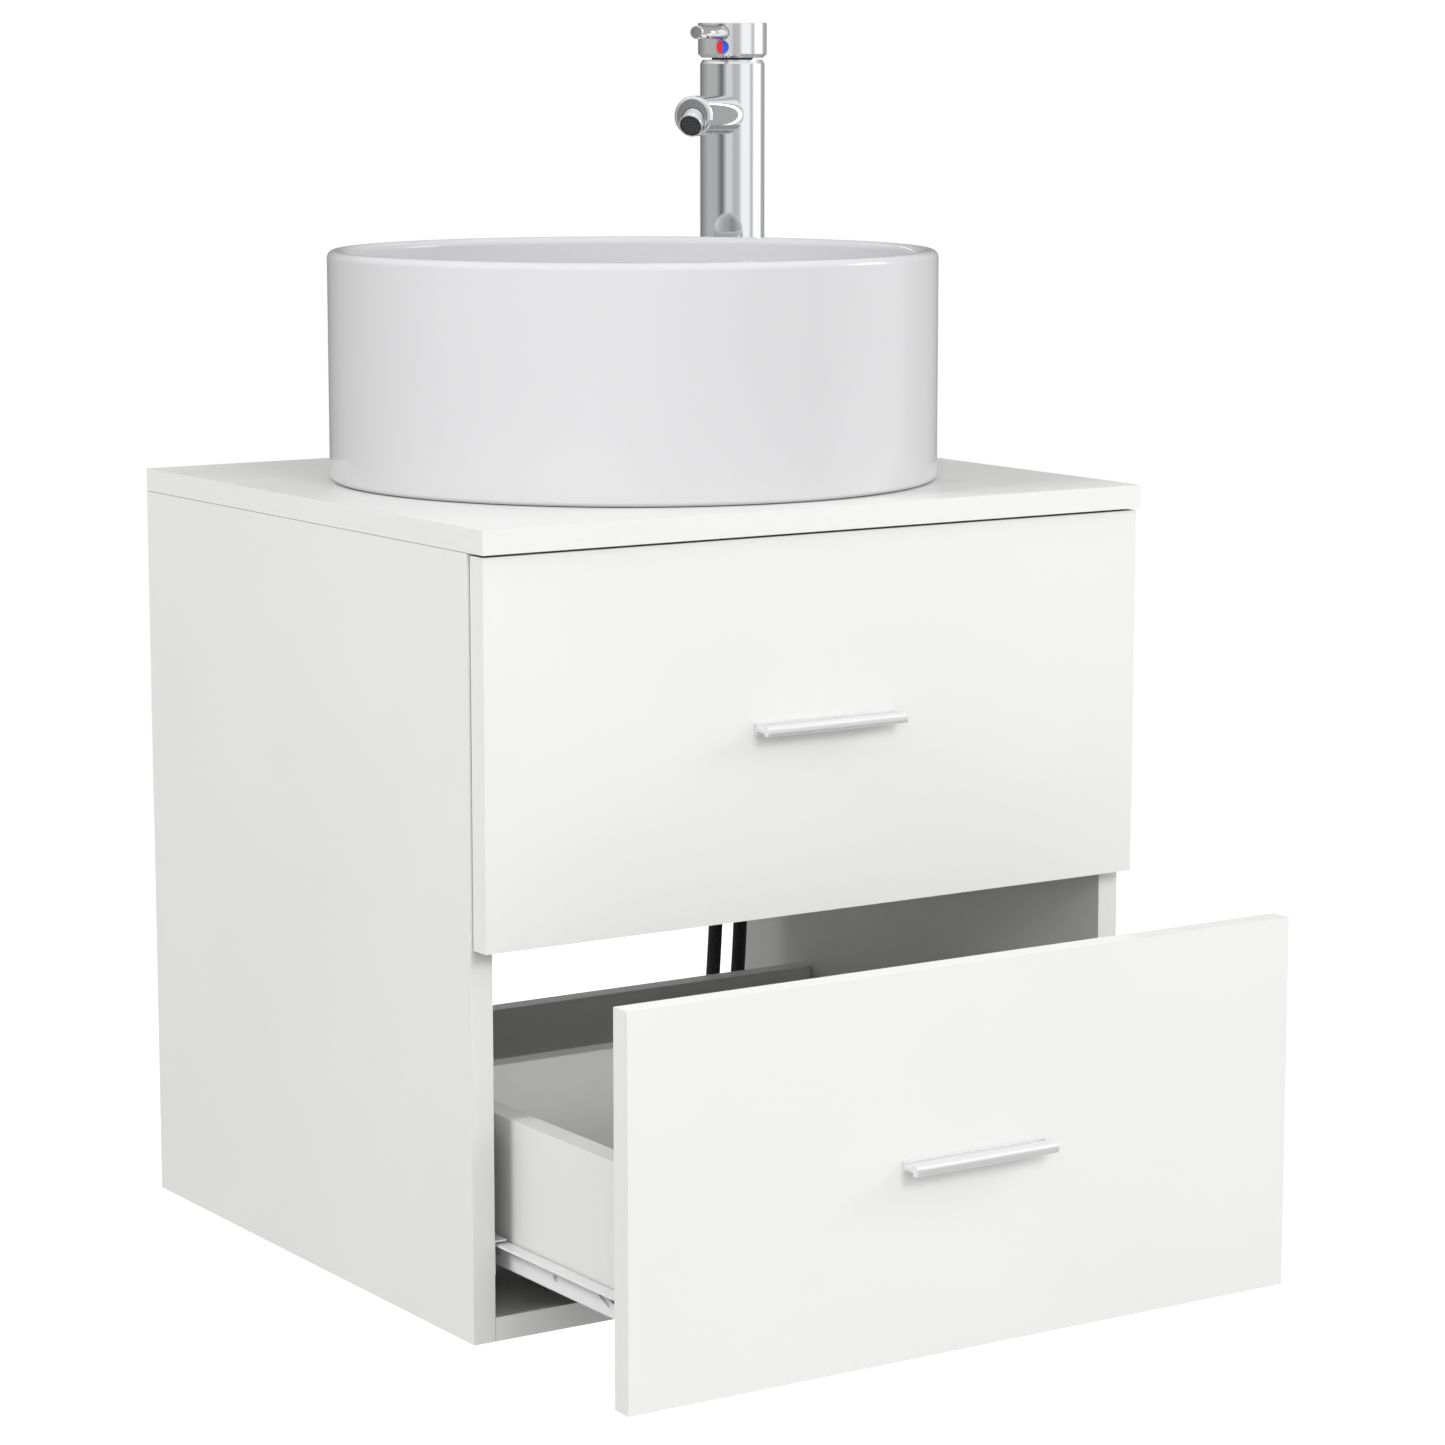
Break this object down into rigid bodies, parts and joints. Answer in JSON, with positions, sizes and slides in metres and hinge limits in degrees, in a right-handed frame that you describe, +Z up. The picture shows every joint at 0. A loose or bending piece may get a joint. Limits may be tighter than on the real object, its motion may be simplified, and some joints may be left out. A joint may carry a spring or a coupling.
{
  "type": "wall-hung vanity with vessel sink",
  "caption": "Wall-hung white vanity cabinet with drawers on roller slides, a round ceramic vessel basin, a tall single-lever mixer and hanging supply hoses.",
  "frame": {"origin": "centre of the hanging rail's back face, where the wall carries the cabinet", "axes": "+Z up, +Y into the wall, -Y out of the drawer fronts, +X to the right of a person who faces the drawers"},
  "size_m": [0.49, 0.6234, 0.795],
  "materials": {
    "white_melamine": "smooth white melamine-faced board",
    "white_hardboard": "white lacquered hardboard",
    "white_glaze": "glossy white glaze",
    "chrome": "mirror-polished plating",
    "satin_aluminium": "fine satin extrusion",
    "white_epoxy_steel": "smooth white epoxy powder coat",
    "zinc_steel": "bright zinc plating",
    "raw_brass": "machined, unpolished",
    "roller_plastic": "moulded, slightly glossy",
    "white_plastic": "fine matte moulding",
    "black_rubber": "smooth black rubber",
    "grey_plastic": "moulded mesh and spindle",
    "temperature_enamel": "two-colour glossy insert, one half red and the other blue"
  },
  "bodies": {
    "cabinet": {"countertop": "white_melamine", "left_side_panel": "white_melamine", "right_side_panel": "white_melamine", "bottom_panel": "white_melamine", "rear_lower_board": "white_melamine", "hanging_rail": "white_melamine", "hanging_bracket_left": "zinc_steel", "hanging_bracket_right": "zinc_steel", "lower_runner_left": "white_epoxy_steel", "lower_runner_right": "white_epoxy_steel", "upper_runner_left": "white_epoxy_steel", "upper_runner_right": "white_epoxy_steel", "basin": "white_glaze", "waste_body": "chrome", "waste_gasket": "black_rubber", "waste_backnut": "raw_brass", "faucet_body": "chrome", "faucet_base_seal": "black_rubber", "faucet_spout": "chrome", "aerator_housing": "chrome", "aerator_screen": "grey_plastic", "cartridge": "white_plastic", "fixing_stud": "zinc_steel", "horseshoe_washer": "zinc_steel", "fixing_nut": "raw_brass", "supply_hose_left": "black_rubber", "supply_hose_right": "black_rubber", "hose_nut_left": "zinc_steel", "hose_nut_right": "zinc_steel"},
    "lower_drawer": {"lower_drawer_front": "white_melamine", "lower_drawer_side_left": "white_melamine", "lower_drawer_side_right": "white_melamine", "lower_drawer_back": "white_melamine", "lower_drawer_floor": "white_hardboard", "lower_handle": "satin_aluminium", "lower_drawer_rail_left": "white_epoxy_steel", "lower_drawer_rail_right": "white_epoxy_steel"},
    "upper_drawer": {"upper_drawer_front": "white_melamine", "upper_drawer_side_left": "white_melamine", "upper_drawer_side_right": "white_melamine", "upper_drawer_back_left": "white_melamine", "upper_drawer_back_right": "white_melamine", "upper_drawer_floor": "white_hardboard", "pipe_cutout_liner": "white_plastic", "upper_handle": "satin_aluminium", "upper_drawer_rail_left": "white_epoxy_steel", "upper_drawer_rail_right": "white_epoxy_steel"},
    "lever_spindle": {"cartridge_spindle": "grey_plastic"},
    "lever_handle": {"handle_cap": "chrome", "lever_pin": "chrome", "temperature_mark": "temperature_enamel"},
    "waste_plug": {"waste_plug": "chrome"},
    "lower_front_roller_left": {"lower_front_roller_left": "roller_plastic"},
    "lower_rear_roller_left": {"lower_rear_roller_left": "roller_plastic"},
    "lower_front_roller_right": {"lower_front_roller_right": "roller_plastic"},
    "lower_rear_roller_right": {"lower_rear_roller_right": "roller_plastic"},
    "upper_front_roller_left": {"upper_front_roller_left": "roller_plastic"},
    "upper_rear_roller_left": {"upper_rear_roller_left": "roller_plastic"},
    "upper_front_roller_right": {"upper_front_roller_right": "roller_plastic"},
    "upper_rear_roller_right": {"upper_rear_roller_right": "roller_plastic"}
  },
  "joints": [
    {"name": "lower_drawer_slide", "type": "slide", "parent": "cabinet", "child": "lower_drawer", "axis": [0, -1, 0], "range_m": [-0.1586, 0.0814]},
    {"name": "upper_drawer_slide", "type": "slide", "parent": "cabinet", "child": "upper_drawer", "axis": [0, -1, 0], "range_m": [0, 0.24]},
    {"name": "lower_front_roller_left_spin", "type": "hinge", "parent": "cabinet", "child": "lower_front_roller_left", "pos_m": [-0.2254, -0.4113, -0.3922], "axis": [1, 0, 0], "range_deg": [-1119, 579]},
    {"name": "lower_rear_roller_left_spin", "type": "hinge", "parent": "lower_drawer", "child": "lower_rear_roller_left", "pos_m": [-0.222, -0.3059, -0.3918], "axis": [1, 0, 0], "range_deg": [-1119, 579]},
    {"name": "lower_front_roller_right_spin", "type": "hinge", "parent": "cabinet", "child": "lower_front_roller_right", "pos_m": [0.2254, -0.4113, -0.3922], "axis": [1, 0, 0], "range_deg": [-1119, 579]},
    {"name": "lower_rear_roller_right_spin", "type": "hinge", "parent": "lower_drawer", "child": "lower_rear_roller_right", "pos_m": [0.222, -0.3059, -0.3918], "axis": [1, 0, 0], "range_deg": [-1119, 579]},
    {"name": "upper_front_roller_left_spin", "type": "hinge", "parent": "cabinet", "child": "upper_front_roller_left", "pos_m": [-0.2254, -0.4113, -0.151], "axis": [1, 0, 0], "range_deg": [0, 1687]},
    {"name": "upper_rear_roller_left_spin", "type": "hinge", "parent": "upper_drawer", "child": "upper_rear_roller_left", "pos_m": [-0.222, -0.1473, -0.1506], "axis": [1, 0, 0], "range_deg": [0, 1687]},
    {"name": "upper_front_roller_right_spin", "type": "hinge", "parent": "cabinet", "child": "upper_front_roller_right", "pos_m": [0.2254, -0.4113, -0.151], "axis": [1, 0, 0], "range_deg": [0, 1687]},
    {"name": "upper_rear_roller_right_spin", "type": "hinge", "parent": "upper_drawer", "child": "upper_rear_roller_right", "pos_m": [0.222, -0.1473, -0.1506], "axis": [1, 0, 0], "range_deg": [0, 1687]},
    {"name": "lever_swivel", "type": "hinge", "parent": "cabinet", "child": "lever_spindle", "pos_m": [0.191, -0.053, 0.328], "axis": [0, 0, 1], "range_deg": [-45, 45]},
    {"name": "lever_lift", "type": "hinge", "parent": "lever_spindle", "child": "lever_handle", "pos_m": [0.19636, -0.0485, 0.328], "axis": [-0.6428, 0.766, 0], "range_deg": [0, 20]},
    {"name": "waste_plug_lift", "type": "slide", "parent": "cabinet", "child": "waste_plug", "axis": [0, 0, 1], "range_m": [0, 0.008]}
  ],
  "couplings": [
    {"joint": "lower_front_roller_left_spin", "follows": "lower_drawer_slide", "rad_per_m": 121.95},
    {"joint": "lower_rear_roller_left_spin", "follows": "lower_drawer_slide", "rad_per_m": 121.95},
    {"joint": "lower_front_roller_right_spin", "follows": "lower_drawer_slide", "rad_per_m": 121.95},
    {"joint": "lower_rear_roller_right_spin", "follows": "lower_drawer_slide", "rad_per_m": 121.95},
    {"joint": "upper_front_roller_left_spin", "follows": "upper_drawer_slide", "rad_per_m": 121.95},
    {"joint": "upper_rear_roller_left_spin", "follows": "upper_drawer_slide", "rad_per_m": 121.95},
    {"joint": "upper_front_roller_right_spin", "follows": "upper_drawer_slide", "rad_per_m": 121.95},
    {"joint": "upper_rear_roller_right_spin", "follows": "upper_drawer_slide", "rad_per_m": 121.95}
  ]
}
